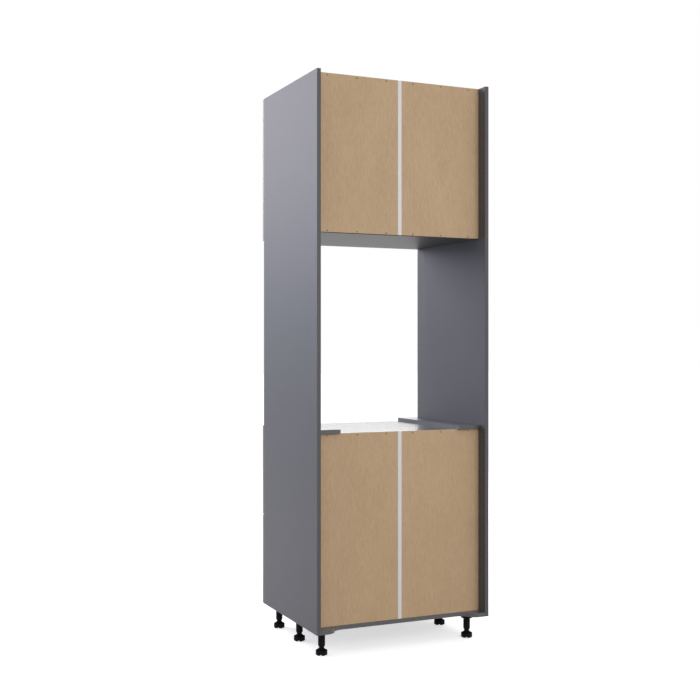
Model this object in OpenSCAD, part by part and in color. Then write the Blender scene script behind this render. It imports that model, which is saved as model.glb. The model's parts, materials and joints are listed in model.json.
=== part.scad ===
// Tall oven housing unit: a frameless kitchen cabinet with two doors above an open
// oven niche and two deep drawers below it, standing on six adjustable legs.
// Origin on the floor under the middle of the unit, +Z up, fronts face -Y, back faces +Y.

/* [Carcass] */
// Width over the outer faces of the side panels
carcass_w = 762; // [600:1:900]
// Depth of the side panels
carcass_d = 594; // [570:1:620]
// Height of the side panels
carcass_h = 2172; // [2060:1:2300]
// Thickness of the laminated boards
board_t = 16; // [15:0.5:19]
// Height from the underside of the carcass to the top of the oven shelf
oven_shelf_top = 767; // [700:1:850]
// Clear height of the oven niche
niche_h = 783; // [590:1:850]

/* [Back] */
// Distance from the rear edge of the sides to the outer face of the back
back_recess = 54; // [40:1:80]
// Thickness of the back panels
back_t = 4; // [3:0.5:6]
// Depth of the grooves in the sides that hold the back
groove_depth = 6; // [4:0.5:8]
// Clearance between the back and its grooves, each face
groove_fit = 0.15; // [0.05:0.05:0.3]
// Height of the upper back's lower edge above the underside of the shelf
back_rise = 2.5; // [0:0.5:4]
// Width of the plastic strip that joins the two halves of the back
joiner_w = 16; // [12:1:30]
// Wall thickness of the joining strip
joiner_wall = 0.9; // [0.7:0.1:1.5]
// Thickness of the web between the two halves
joiner_web = 2; // [1:0.5:4]
// Distance of the first back screw from the middle
back_screw_first = 59; // [40:1:80]
// Distance between neighbouring back screws
back_screw_pitch = 128; // [96:1:160]

/* [Bottom panel cut-out] */
// Width of the rear ears beside the cut-out
ear_w = 28; // [20:1:60]
// Run of the S-curve between an ear and the cut-back edge
ogee_run = 80; // [50:1:90]
// Reach of the cut-back edge past the back
bottom_lip = 6; // [2:1:12]

/* [Oven rails] */
// Width of the boards that the oven stands on
rail_w = 100; // [60:1:140]
// Reach of the rails past the back
rail_overhang = 15; // [5:1:25]

/* [Legs] */
// Height of the carcass above the floor
leg_h = 99; // [90:1:110]
// Distance from a side's outer face to the leg axis
leg_inset_x = 54.3; // [40:0.1:80]
// Distance from the rear edge of the sides to the rear leg axis
leg_inset_rear = 84.5; // [70:0.5:110]
// Distance from the front edge of the sides to the front leg axis
leg_inset_front = 42.5; // [35:0.5:90]
// Diameter of the flange under the bottom panel
leg_flange_dia = 46; // [40:1:54]
// Height of the flange
leg_flange_h = 18; // [10:0.5:20]
// Diameter of the leg tube
leg_tube_dia = 27.8; // [26:0.1:32]
// Height of the lower end of the tube above the floor
leg_tube_bottom = 33; // [31:1:45]
// Diameter of the foot's stem
stem_dia = 20.8; // [18:0.1:22]
// Clearance between stem and tube, each side
stem_fit = 0.3; // [0.25:0.05:0.6]
// Length of stem inside the tube
stem_grip = 44; // [30:1:46]
// Diameter of the foot
foot_dia = 46; // [40:1:60]
// Height of the foot's rim
foot_rim_h = 18.5; // [14:0.5:20]
// Height at which the foot's gussets meet the stem
foot_gusset_h = 27; // [24:0.5:30]
// Wall of the foot's rim and gussets
foot_wall = 2.6; // [2:0.1:4]

/* [Fronts] */
// Thickness of the doors and drawer fronts
front_t = 18; // [16:0.5:22]
// Gap between the carcass and the fronts
front_gap = 2; // [1.8:0.1:3]
// Distance of the fronts from the outer edges of the carcass
reveal = 1.5; // [1:0.1:3]
// Gap between neighbouring fronts
split_gap = 3; // [2:0.1:5]
// Height of the doors' lower edge above the underside of the upper shelf
door_lift = 10.5; // [0:0.5:14]
// Height of the lowest front's lower edge above the underside of the carcass
bottom_reveal = 0; // [0:0.5:3]
// Bevel along the outer edges of the fronts
front_bevel = 1; // [0.5:0.1:2]

/* [Hinges] */
// Diameter of the hinge cup
cup_dia = 35; // [34:0.5:36]
// Depth of the hinge cup
cup_depth = 12.5; // [11:0.1:13]
// Wood left between the cup and the door edge
cup_edge = 5; // [4:0.5:6]
// Distance from a door's top or bottom edge to its hinges
hinge_inset = 100; // [80:1:140]
// Setback of the mounting plates from the front edge of the sides
plate_setback = 37; // [34:1:40]
// Height of the mounting plate under the arm
plate_h = 8; // [6:0.5:9]

/* [Drawers] */
// Space between the rear end of the runners and the back
runner_back_gap = 33.1; // [20:0.1:90]
// Height of the runner's outer member
runner_h = 45.5; // [40:0.5:50]
// Space beside the drawer that the runner fills
runner_w = 13; // [12.5:0.1:15]
// Sheet thickness of the runner members
runner_sheet = 1.2; // [1:0.1:1.6]
// Running gap between runner members
runner_fit = 0.3; // [0.2:0.05:0.5]
// Thickness of the steel drawer sides
drawer_side_t = 13; // [12:0.5:16]
// Sheet thickness of the drawer sides
drawer_sheet = 1; // [0.8:0.1:1.5]
// Height of the drawer sides
drawer_side_h = 200; // [120:1:240]
// Height of a drawer box above the lower edge of its front
drawer_rise = 30; // [26:1:40]
// Amount by which the drawer box is shorter than its runners
drawer_shorter = 10; // [5:1:20]

/* [Handles] */
// Distance between the posts of a handle
handle_pitch = 192; // [96:32:256]
// Diameter of the handle bar
handle_dia = 12; // [10:0.5:14]
// Reach of the handle in front of the door
handle_reach = 34; // [30:1:40]
// Length of bar past each post
handle_tail = 24; // [10:1:40]
// Distance from a handle's axis to the nearest long edge of its front
handle_inset = 45; // [35:1:70]

/* [Adjustable shelf] */
// Diameter of the shelf pin holes
pin_dia = 5; // [4.5:0.1:5.5]
// Distance between pin holes
pin_pitch = 32; // [25:1:40]
// Number of pin holes in each row
pin_rows = 5; // [3:2:7]
// Setback of the pin holes from the front edge and from the back
pin_setback = 60; // [50:1:80]
// Depth of the pin holes
pin_hole_depth = 11; // [9:0.5:12]
// Play of the adjustable shelf between the sides, each end
shelf_play = 1; // [0.5:0.1:2]
// Setback of the adjustable shelf from the front edge
shelf_setback = 25; // [20:1:40]

/* [Connectors] */
// Diameter of the cam locks
cam_dia = 15; // [12:0.5:16]
// Depth of the cam locks
cam_depth = 12.5; // [11:0.1:13]
// Distance from the end of a board to the cam centre
cam_backset = 34; // [24:1:34]
// Distance of the first connector from the front edge and from the back
cam_setback = 92; // [70:1:140]
// Diameter of the wood dowels
dowel_dia = 8; // [6:0.5:8]
// Length of the wood dowels
dowel_len = 30; // [25:1:35]
// Depth of the connector holes in the sides
side_hole_depth = 11; // [9:0.5:12]

/* [Hidden] */
$fn = 64;

// Which side, level or half a part belongs to
LEFT = -1;
RIGHT = 1;
LOWER = 0;
UPPER = 1;

// Colours as the photograph shows them, or as such products have them
laminate = [0.36, 0.36, 0.38];
hardboard = [0.72, 0.59, 0.45];
white_plastic = [0.88, 0.87, 0.88];
black_plastic = [0.05, 0.05, 0.05];
front_wood = [0.45, 0.38, 0.33];
zinc = [0.75, 0.75, 0.77];
steel_grey = [0.45, 0.46, 0.48];
beech = [0.80, 0.65, 0.45];

// A small overlap that lets a cut run past the face it starts from
past = 1;

// Main planes across the depth
unit_d = carcass_d + front_gap + front_t + handle_reach;
rear_y = unit_d / 2;
carcass_y = rear_y - carcass_d;
front_back_y = carcass_y - front_gap;
front_face_y = front_back_y - front_t;
back_outer_y = rear_y - back_recess;
back_inner_y = back_outer_y - back_t;
board_rear_y = back_inner_y - joiner_wall;

// Main planes across the width
side_x = carcass_w / 2;
inner_x = side_x - board_t;

// Main heights
base_z = leg_h;
top_z = base_z + carcass_h;
oven_shelf_z = base_z + oven_shelf_top - board_t;
upper_shelf_z = base_z + oven_shelf_top + niche_h;
top_panel_z = top_z - board_t;
fixed_board_z = [base_z, oven_shelf_z, upper_shelf_z, top_panel_z];

// Doors and drawer fronts
door_w = (carcass_w - 2 * reveal - split_gap) / 2;
door_z = upper_shelf_z + door_lift;
door_h = top_z - reveal - door_z;
drawer_front_w = carcass_w - 2 * reveal;
drawer_front_h = (oven_shelf_top - bottom_reveal - reveal - split_gap) / 2;

function drawer_front_z(level) = base_z + bottom_reveal + level * (drawer_front_h + split_gap);
function drawer_box_z(level) = drawer_front_z(level) + drawer_rise;

// ---------- Shared shapes ----------

module box(low, high) {
    translate(low) cube(high - low);
}

// Builds a part for the right-hand side, or its mirror image for the left
module on_side(side) {
    if (side == RIGHT) children();
    else mirror([1, 0, 0]) children();
}

module both_sides() {
    on_side(LEFT) children();
    on_side(RIGHT) children();
}

// A cylinder along +Y or along +X
module rod_y(d, length) {
    rotate([-90, 0, 0]) cylinder(d = d, h = length);
}

module rod_x(d, length) {
    rotate([0, 90, 0]) cylinder(d = d, h = length);
}

// A slab whose outer face, at y = 0, has bevelled edges
module bevelled_slab(w, t, h) {
    e = front_bevel;
    intersection() {
        linear_extrude(h)
            polygon([[0, t], [0, e], [e, 0], [w - e, 0], [w, e], [w, t]]);
        rotate([90, 0, 90])
            linear_extrude(w)
                polygon([[t, 0], [e, 0], [0, e], [0, h - e], [e, h], [t, h]]);
    }
}

// ---------- Connectors between boards ----------

connector_y = [carcass_y + cam_setback, board_rear_y - cam_setback];
dowel_y = [connector_y[0] + pin_pitch, connector_y[1] - pin_pitch];
// The cams face down on the two lower boards and up on the two upper ones
cam_faces_up = [false, false, true, true];
dowel_fit = 0.05;
cam_bolt_dia = 7;
cam_thread_dia = 5;
cam_bolt_fit = 0.5;
cam_slot_w = 2;
cam_slot_len = 9;
cam_slot_depth = 3;
cam_bolt_head = 3;

module connector_holes_in_side() {
    for (z = fixed_board_z) {
        for (y = connector_y)
            translate([inner_x - past, y, z + board_t / 2])
                rod_x(cam_thread_dia + 2 * dowel_fit, side_hole_depth + past);
        for (y = dowel_y)
            translate([inner_x - past, y, z + board_t / 2])
                rod_x(dowel_dia + 2 * dowel_fit, side_hole_depth + past);
    }
}

module cam_pocket(z, faces_up) {
    translate([inner_x - cam_backset, 0, faces_up ? z + board_t - cam_depth : z - past])
        cylinder(d = cam_dia + 2 * dowel_fit, h = cam_depth + past);
}

module connector_holes_in_board(index) {
    z = fixed_board_z[index];
    both_sides() {
        for (y = connector_y)
            translate([0, y, 0]) {
                cam_pocket(z, cam_faces_up[index]);
                translate([inner_x - cam_backset, 0, z + board_t / 2])
                    rod_x(cam_bolt_dia + 2 * cam_bolt_fit, cam_backset + past);
            }
        for (y = dowel_y)
            translate([inner_x - dowel_len + side_hole_depth, y, z + board_t / 2])
                rod_x(dowel_dia + 2 * dowel_fit, dowel_len);
    }
}

module fixed_board(index, rear_edge_y) {
    z = fixed_board_z[index];
    difference() {
        box([-inner_x, carcass_y, z], [inner_x, rear_edge_y, z + board_t]);
        connector_holes_in_board(index);
    }
}

module cam_locks() {
    color(zinc)
        for (index = [0 : len(fixed_board_z) - 1], y = connector_y)
            both_sides()
                cam_lock(fixed_board_z[index], y, cam_faces_up[index]);
}

module cam_lock(z, y, faces_up) {
    low_z = faces_up ? z + board_t - cam_depth : z;
    face_z = faces_up ? z + board_t : z;
    translate([inner_x - cam_backset, y, 0])
        difference() {
            translate([0, 0, low_z]) cylinder(d = cam_dia, h = cam_depth);
            translate([0, 0, z + board_t / 2]) rod_x(cam_bolt_dia + 2 * cam_bolt_fit, cam_dia);
            for (turn = [0, 90])
                translate([0, 0, face_z])
                    rotate(turn)
                        cube([cam_slot_len, cam_slot_w, 2 * cam_slot_depth], center = true);
        }
}

module cam_bolts() {
    color(zinc)
        for (z = fixed_board_z, y = connector_y)
            both_sides()
                translate([0, y, z + board_t / 2]) {
                    translate([inner_x, 0, 0]) rod_x(cam_thread_dia, side_hole_depth);
                    translate([inner_x - cam_backset, 0, 0]) rod_x(cam_thread_dia, cam_backset);
                    translate([inner_x - cam_backset, 0, 0]) rod_x(cam_bolt_dia, cam_bolt_head);
                    translate([inner_x - cam_bolt_head, 0, 0]) rod_x(cam_bolt_dia, cam_bolt_head);
                }
}

module wood_dowels() {
    color(beech)
        for (z = fixed_board_z, y = dowel_y)
            both_sides()
                translate([inner_x - dowel_len + side_hole_depth, y, z + board_t / 2])
                    rod_x(dowel_dia, dowel_len);
}

// ---------- Carcass ----------

// Height ranges that the upper and lower halves of the back cover
back_span_lower = [base_z + board_t, base_z + oven_shelf_top];
back_span_upper = [upper_shelf_z + back_rise, top_z];

// Rows of holes for the shelf pins, around the middle of the upper cupboard
cupboard_z = upper_shelf_z + board_t;
cupboard_h = top_panel_z - cupboard_z;
shelf_pin_z = cupboard_z + cupboard_h / 2;
pin_y = [carcass_y + pin_setback, board_rear_y - pin_setback];
pin_fit = 0.05;

module groove(span) {
    box([inner_x - past, back_inner_y - groove_fit, span[0] - groove_fit],
        [inner_x + groove_depth, back_outer_y + groove_fit, span[1] + groove_fit]);
}

module side_panel(side) {
    color(laminate)
        on_side(side)
            difference() {
                box([inner_x, carcass_y, base_z], [side_x, rear_y, top_z]);
                groove(back_span_lower);
                groove(back_span_upper);
                connector_holes_in_side();
                for (y = pin_y, row = [0 : pin_rows - 1])
                    translate([inner_x - past, y, shelf_pin_z + (row - (pin_rows - 1) / 2) * pin_pitch])
                        rod_x(pin_dia + 2 * pin_fit, pin_hole_depth + past);
            }
}

// Half of the rear edge of the bottom panel: an ear, an S-curve and the cut-back edge
ogee_steps = 10;
module rear_cut_out() {
    lip_y = back_outer_y + bottom_lip;
    drop = rear_y - lip_y;
    ogee_r = (pow(ogee_run / 2, 2) + pow(drop / 2, 2)) / drop;
    ogee_angle = 2 * atan(drop / ogee_run);
    ear_x = inner_x - ear_w;
    low_arc = [for (i = [0 : ogee_steps]) let (a = i * ogee_angle / ogee_steps)
        [ear_x - ogee_run + ogee_r * sin(a), lip_y + ogee_r * (1 - cos(a))]];
    high_arc = [for (i = [ogee_steps - 1 : -1 : 0]) let (a = i * ogee_angle / ogee_steps)
        [ear_x - ogee_r * sin(a), rear_y - ogee_r * (1 - cos(a))]];
    polygon(concat([[0, lip_y]], low_arc, high_arc, [[ear_x, rear_y + past], [0, rear_y + past]]));
}

leg_x = side_x - leg_inset_x;
leg_rear_y = rear_y - leg_inset_rear;
leg_front_y = carcass_y + leg_inset_front;
leg_y = [leg_front_y, (leg_front_y + leg_rear_y) / 2, leg_rear_y];
spigot_dia = 10;
spigot_len = 11;
spigot_fit = 0.05;

module bottom_panel() {
    color(laminate)
        difference() {
            fixed_board(0, rear_y);
            both_sides() {
                translate([0, 0, base_z - past]) linear_extrude(board_t + 2 * past) rear_cut_out();
                for (y = leg_y)
                    translate([leg_x, y, base_z - past])
                        cylinder(d = spigot_dia + 2 * spigot_fit, h = spigot_len + past);
            }
        }
}

module oven_shelf() {
    color(laminate)
        difference() {
            fixed_board(1, board_rear_y);
            back_screw_holes(board_rear_y - back_screw_len);
            rail_screw_holes();
        }
}

module upper_shelf() {
    color(laminate)
        difference() {
            fixed_board(2, board_rear_y);
            back_screw_holes(board_rear_y - back_screw_len);
        }
}

module top_panel() {
    color(laminate)
        difference() {
            fixed_board(3, board_rear_y);
            back_screw_holes(board_rear_y - back_screw_len);
        }
}

pin_reach = 8;
pin_shank_dia = 6;
pin_end_gap = 1;

module adjustable_shelf() {
    color(laminate)
        box([-inner_x + shelf_play, carcass_y + shelf_setback, shelf_pin_z + pin_shank_dia / 2],
            [inner_x - shelf_play, board_rear_y - shelf_play, shelf_pin_z + pin_shank_dia / 2 + board_t]);
}

module shelf_pins() {
    color(zinc)
        both_sides()
            for (y = pin_y)
                translate([inner_x, y, shelf_pin_z]) {
                    rod_x(pin_dia, pin_hole_depth - pin_end_gap);
                    translate([-pin_reach, 0, 0]) rod_x(pin_shank_dia, pin_reach);
                }
}

// ---------- Back ----------

screw_head_dia = 7;
screw_top_dia = 5;
screw_head_t = 1.6;
screw_dia = 3.5;
screw_tip_dia = 1.4;
screw_tip_len = 4;
screw_recess_len = 3.5;
screw_recess_w = 0.8;
screw_fit = 0.05;
back_screw_len = 18;
back_screw_count = floor((inner_x - back_screw_first - screw_head_dia) / back_screw_pitch) + 1;
back_screw_x = [for (i = [0 : back_screw_count - 1]) back_screw_first + i * back_screw_pitch];
back_screw_z = [oven_shelf_z + board_t / 2, upper_shelf_z + board_t / 2, top_panel_z + board_t / 2];

module back_screw_holes(from_y) {
    both_sides()
        for (x = back_screw_x, z = back_screw_z)
            translate([x, from_y, z]) rod_y(screw_dia + 2 * screw_fit, back_outer_y - from_y + past);
}

module back_half(side, span) {
    edge_x = joiner_web / 2 + groove_fit;
    color(hardboard)
        on_side(side)
            difference() {
                box([edge_x, back_inner_y, span[0]], [inner_x + groove_depth - groove_fit, back_outer_y, span[1]]);
                back_screw_holes(back_inner_y - past);
            }
}

module back_joiner(span) {
    color(white_plastic)
        union() {
            box([-joiner_w / 2, back_outer_y, span[0]], [joiner_w / 2, back_outer_y + joiner_wall, span[1]]);
            box([-joiner_w / 2, back_inner_y - joiner_wall, span[0]], [joiner_w / 2, back_inner_y, span[1]]);
            box([-joiner_web / 2, back_inner_y - joiner_wall, span[0]],
                [joiner_web / 2, back_outer_y + joiner_wall, span[1]]);
        }
}

// ---------- Oven rails ----------

rail_z = base_z + oven_shelf_top;
rail_rear_y = back_outer_y + rail_overhang;
rail_screw_len = 26;
rail_screw_inset = 60;
rail_screw_y = [carcass_y + rail_screw_inset, board_rear_y - rail_screw_inset];
rail_screw_x = inner_x - rail_w / 2;
// The heads sit below the top of the rail so that the oven stands on the board
rail_screw_sink = 2;

module rail_screw_holes() {
    both_sides()
        for (y = rail_screw_y)
            translate([rail_screw_x, y, rail_z + board_t - rail_screw_sink - rail_screw_len])
                cylinder(d = screw_dia + 2 * screw_fit, h = rail_screw_len);
}

module oven_rail(side) {
    color(laminate)
        on_side(side)
            difference() {
                box([inner_x - rail_w, carcass_y, rail_z], [inner_x, rail_rear_y, rail_z + board_t]);
                rail_screw_holes();
                for (y = rail_screw_y)
                    translate([rail_screw_x, y, rail_z + board_t - rail_screw_sink - screw_head_t])
                        cylinder(d = screw_head_dia + 2 * screw_fit, h = rail_screw_sink + screw_head_t + past);
            }
}

// A countersunk screw that points down, with a tapered tip and a cross recess
module screw(length) {
    cylinder(d1 = screw_tip_dia, d2 = screw_dia, h = screw_tip_len);
    translate([0, 0, screw_tip_len]) cylinder(d = screw_dia, h = length - screw_tip_len);
    translate([0, 0, length])
        difference() {
            cylinder(d1 = screw_head_dia, d2 = screw_top_dia, h = screw_head_t);
            for (turn = [0, 90])
                translate([0, 0, screw_head_t])
                    rotate(turn) cube([screw_recess_len, screw_recess_w, screw_head_t], center = true);
        }
}

module panel_screws() {
    color(steel_grey)
        both_sides() {
            for (x = back_screw_x, z = back_screw_z)
                translate([x, back_outer_y - back_screw_len, z]) rotate([-90, 0, 0]) screw(back_screw_len);
            for (y = rail_screw_y)
                translate([rail_screw_x, y, rail_z + board_t - rail_screw_sink - rail_screw_len])
                    screw(rail_screw_len - screw_head_t);
        }
}

// ---------- Legs ----------

leg_flange_plate_t = 3;
leg_flange_wall = 2;
leg_flange_rib_count = 8;
tube_end_bevel = 6;
tube_end_wall = 1.2;
tube_cap_t = 4;
tube_bore_top_z = base_z - tube_cap_t;
stem_r = stem_dia / 2;
stem_top_z = leg_tube_bottom + stem_grip;
stem_chamfer = 1;
foot_bevel = 2.5;
foot_tread_w = 5;
foot_hollow_h = 5.5;
foot_web_t = 2.5;
foot_gusset_count = 6;
foot_notch_dia = 9;

// A flange cup with ribs, a tube whose lower end tapers to the stem, and a spigot in the panel
module leg_socket(side, y) {
    tube_r = leg_tube_dia / 2;
    bore_r = stem_r + stem_fit;
    flange_r = leg_flange_dia / 2;
    flange_z = base_z - leg_flange_h;
    color(black_plastic)
        on_side(side)
            translate([leg_x, y, 0]) {
                rotate_extrude()
                    polygon([[bore_r, leg_tube_bottom], [bore_r + tube_end_wall, leg_tube_bottom],
                        [tube_r, leg_tube_bottom + tube_end_bevel], [tube_r, base_z], [0, base_z],
                        [0, tube_bore_top_z], [bore_r, tube_bore_top_z]]);
                translate([0, 0, base_z - leg_flange_plate_t])
                    cylinder(r = flange_r, h = leg_flange_plate_t);
                difference() {
                    translate([0, 0, flange_z]) cylinder(r = flange_r, h = leg_flange_h);
                    translate([0, 0, flange_z - past])
                        cylinder(r = flange_r - leg_flange_wall, h = leg_flange_h + 2 * past);
                }
                for (i = [0 : leg_flange_rib_count - 1])
                    rotate(i * 360 / leg_flange_rib_count)
                        box([bore_r + tube_end_wall, -leg_flange_wall / 2, flange_z],
                            [flange_r - leg_flange_wall / 2, leg_flange_wall / 2, base_z]);
                translate([0, 0, base_z]) cylinder(d = spigot_dia, h = spigot_len);
            }
}

// A stem in a dish that stands on a notched tread ring, with gussets from the stem to the rim
module foot(side, y) {
    r = foot_dia / 2;
    tread_r = r - foot_bevel - foot_tread_w;
    web_top = foot_hollow_h + foot_web_t;
    color(black_plastic)
        on_side(side)
            translate([leg_x, y, 0])
                difference() {
                    union() {
                        rotate_extrude()
                            polygon([[tread_r, 0], [r - foot_bevel, 0], [r, foot_bevel], [r, foot_rim_h],
                                [r - foot_wall, foot_rim_h], [r - foot_wall, web_top], [stem_r, web_top],
                                [stem_r, stem_top_z - stem_chamfer], [stem_r - stem_chamfer, stem_top_z],
                                [0, stem_top_z], [0, foot_hollow_h], [tread_r, foot_hollow_h]]);
                        for (i = [0 : foot_gusset_count - 1])
                            rotate((i + 0.5) * 360 / foot_gusset_count) foot_gusset(web_top);
                    }
                    for (i = [0 : foot_gusset_count / 2 - 1])
                        rotate(i * 360 / foot_gusset_count)
                            translate([-r - past, 0, 0]) rod_x(foot_notch_dia, 2 * (r + past));
                    cylinder(r = stem_r - foot_wall, h = foot_rim_h);
                }
}

// An upright web from the stem to the rim, whose top slopes down to the rim
module foot_gusset(web_top) {
    rim_x = foot_dia / 2 - foot_wall / 2;
    low_z = web_top - foot_web_t / 2;
    inner_r = stem_r - foot_wall / 2;
    translate([0, foot_wall / 2, 0])
        rotate([90, 0, 0])
            linear_extrude(foot_wall)
                polygon([[inner_r, low_z], [rim_x, low_z], [rim_x, foot_rim_h], [stem_r, foot_gusset_h],
                    [inner_r, foot_gusset_h]]);
}

// ---------- Doors ----------

// Hinge axis, set in from the outer edge and the face of the closed door
axis_in_from_edge = 6.5;
axis_in_from_face = 6;
axis_x = side_x - reveal - axis_in_from_edge;
axis_y = front_face_y + axis_in_from_face;
cup_x = side_x - reveal - cup_edge - cup_dia / 2;
hinge_z = [door_z + hinge_inset, door_z + door_h - hinge_inset];
cup_fit = 0.05;
handle_screw_dia = 4;
handle_screw_hole_fit = 0.5;

module door(side) {
    color(front_wood)
        on_side(side)
            difference() {
                translate([split_gap / 2, front_face_y, door_z]) bevelled_slab(door_w, front_t, door_h);
                for (z = hinge_z)
                    translate([cup_x, front_back_y - cup_depth, z])
                        rod_y(cup_dia + 2 * cup_fit, cup_depth + past);
                for (z = door_handle_z)
                    translate([door_handle_x, front_face_y - past, z])
                        rod_y(handle_screw_dia + 2 * handle_screw_hole_fit, front_t + 2 * past);
            }
}

cup_wall = 0.8;
cup_rim_w = 2;
cup_flange_t = 1.2;
cup_flange_w = 22;
cup_flange_h = 56;
cup_screw_pitch = 45;
cup_screw_dia = 6;
cup_screw_rise = 0.5;
hinge_pin_dia = 3;
hinge_pin_len = 12;

// A cup with its fixing flange and, at the hinge axis, the pin that the door turns on
module hinge_cups(side) {
    color(zinc)
        on_side(side)
            for (z = hinge_z)
                translate([cup_x, front_back_y, z])
                    union() {
                        difference() {
                            union() {
                                translate([0, -cup_depth, 0]) rod_y(cup_dia, cup_depth);
                                rod_y(cup_dia + 2 * cup_rim_w, cup_flange_t);
                                box([-cup_flange_w / 2, 0, -cup_flange_h / 2],
                                    [cup_flange_w / 2, cup_flange_t, cup_flange_h / 2]);
                                for (dz = [-cup_screw_pitch / 2, cup_screw_pitch / 2])
                                    translate([0, cup_flange_t, dz]) rod_y(cup_screw_dia, cup_screw_rise);
                            }
                            translate([0, cup_wall - cup_depth, 0])
                                rod_y(cup_dia - 2 * cup_wall, cup_depth + 2 * past);
                        }
                        intersection() {
                            translate([axis_x - cup_x, axis_y - front_back_y, -hinge_pin_len / 2])
                                cylinder(d = hinge_pin_dia, h = hinge_pin_len);
                            translate([0, -cup_depth, 0]) rod_y(cup_dia, cup_depth);
                        }
                    }
}

plate_wing_t = 2;
plate_wing_w = 16;
plate_wing_h = 52;
plate_len = 34;
plate_body_w = 12.4;
plate_screw_dia = 8;
plate_screw_rise = 1;

// A body that carries the arm, between two wings with their screw heads
module hinge_plates() {
    color(zinc)
        both_sides()
            for (z = hinge_z)
                translate([inner_x, carcass_y + plate_setback, z])
                    union() {
                        box([-plate_h, -plate_len / 2, -plate_body_w / 2], [0, plate_len / 2, plate_body_w / 2]);
                        box([-plate_wing_t, -plate_wing_w / 2, -plate_wing_h / 2],
                            [0, plate_wing_w / 2, plate_wing_h / 2]);
                        for (dz = [-pin_pitch / 2, pin_pitch / 2])
                            translate([-plate_wing_t - plate_screw_rise, 0, dz])
                                rod_x(plate_screw_dia, plate_wing_t + plate_screw_rise);
                    }
}

arm_w = 16;
arm_sheet = 1.4;
arm_cheek = 5;
arm_nose_t = 5;
arm_nose_w = 10;
arm_nose_run = 12;
arm_tip_gap = 2;
arm_tail = 6;
arm_screw_dia = 7;
arm_screw_rise = 0.8;
arm_screw_slot = 1;

// A channel that straddles the plate, with two adjusting screws and a nose that dips into the cup
module hinge_arms() {
    tip_y = front_back_y - cup_depth + cup_wall + arm_tip_gap;
    end_y = carcass_y + plate_setback + plate_len / 2 + arm_tail;
    color(zinc)
        both_sides()
            for (z = hinge_z)
                translate([inner_x - plate_h, 0, z]) {
                    difference() {
                        box([-arm_sheet, front_back_y, -arm_w / 2], [arm_cheek, end_y, arm_w / 2]);
                        box([0, front_back_y + arm_sheet, arm_sheet - arm_w / 2],
                            [arm_cheek + past, end_y + past, arm_w / 2 - arm_sheet]);
                    }
                    box([-arm_nose_t, tip_y + arm_nose_t / 2, -arm_nose_w / 2],
                        [0, front_back_y + arm_nose_run, arm_nose_w / 2]);
                    translate([-arm_nose_t / 2, tip_y + arm_nose_t / 2, -arm_nose_w / 2])
                        cylinder(d = arm_nose_t, h = arm_nose_w);
                    for (dy = [-plate_len / 4, plate_len / 4])
                        translate([-arm_sheet - arm_screw_rise, carcass_y + plate_setback + dy, 0]) arm_screw();
                }
}

module arm_screw() {
    difference() {
        rod_x(arm_screw_dia, arm_screw_rise + arm_sheet / 2);
        cube([arm_screw_rise, arm_screw_slot, arm_screw_dia + past], center = true);
    }
}

// ---------- Handles ----------

door_handle_x = split_gap / 2 + handle_inset;
door_handle_z = [door_z + handle_inset + handle_tail, door_z + handle_inset + handle_tail + handle_pitch];
post_dia = 8;
handle_screw_grip = 8;
handle_screw_fit = 0.05;
handle_screw_head_dia = 8;
handle_screw_head_t = 1.5;
handle_bevel = 1;
handle_screw_end_gap = 0.5;

// A bar along +Z on two posts that stand on the face at y = 0, with its two screws
module bar_handle() {
    bar_y = handle_dia / 2 - handle_reach;
    bar_half = handle_pitch / 2 + handle_tail;
    bar_r = handle_dia / 2;
    screw_y = handle_screw_end_gap - handle_screw_grip;
    difference() {
        union() {
            translate([0, bar_y, 0])
                rotate_extrude()
                    polygon([[0, -bar_half], [bar_r - handle_bevel, -bar_half], [bar_r, handle_bevel - bar_half],
                        [bar_r, bar_half - handle_bevel], [bar_r - handle_bevel, bar_half], [0, bar_half]]);
            for (dz = [-handle_pitch / 2, handle_pitch / 2])
                translate([0, bar_y, dz]) rod_y(post_dia, -bar_y);
        }
        for (dz = [-handle_pitch / 2, handle_pitch / 2])
            translate([0, -handle_screw_grip, dz])
                rod_y(handle_screw_dia + 2 * handle_screw_fit, handle_screw_grip + past);
    }
    for (dz = [-handle_pitch / 2, handle_pitch / 2])
        translate([0, screw_y, dz]) {
            rod_y(handle_screw_dia, front_t - screw_y);
            translate([0, front_t - screw_y, 0]) rod_y(handle_screw_head_dia, handle_screw_head_t);
        }
}

module door_handle(side) {
    color(zinc)
        on_side(side)
            translate([door_handle_x, front_face_y, (door_handle_z[0] + door_handle_z[1]) / 2]) bar_handle();
}

module drawer_handle(level) {
    color(zinc)
        translate([0, front_face_y, drawer_handle_z(level)]) rotate([0, 90, 0]) bar_handle();
}

// ---------- Drawers ----------

function drawer_handle_z(level) = drawer_front_z(level) + drawer_front_h - handle_inset;
runner_setback = 2;
runner_len = board_rear_y - runner_back_gap - carcass_y - runner_setback;
drawer_len = runner_len - drawer_shorter;
drawer_outer_x = inner_x - runner_w;
drawer_inner_x = drawer_outer_x - drawer_side_t;
drawer_lip = 12;
drawer_lip_t = 1.5;
drawer_rear_y = front_back_y + drawer_len;
drawer_board_fit = 0.3;
drawer_back_drop = 30;
drawer_back_h = drawer_side_h - drawer_back_drop;
bracket_w = 18;
bracket_t = 1.5;
bracket_inset = 12;

module drawer_front(level) {
    color(front_wood)
        difference() {
            translate([-drawer_front_w / 2, front_face_y, drawer_front_z(level)])
                bevelled_slab(drawer_front_w, front_t, drawer_front_h);
            for (x = [-handle_pitch / 2, handle_pitch / 2])
                translate([x, front_face_y - past, drawer_handle_z(level)])
                    rod_y(handle_screw_dia + 2 * handle_screw_hole_fit, front_t + 2 * past);
        }
}

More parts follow.
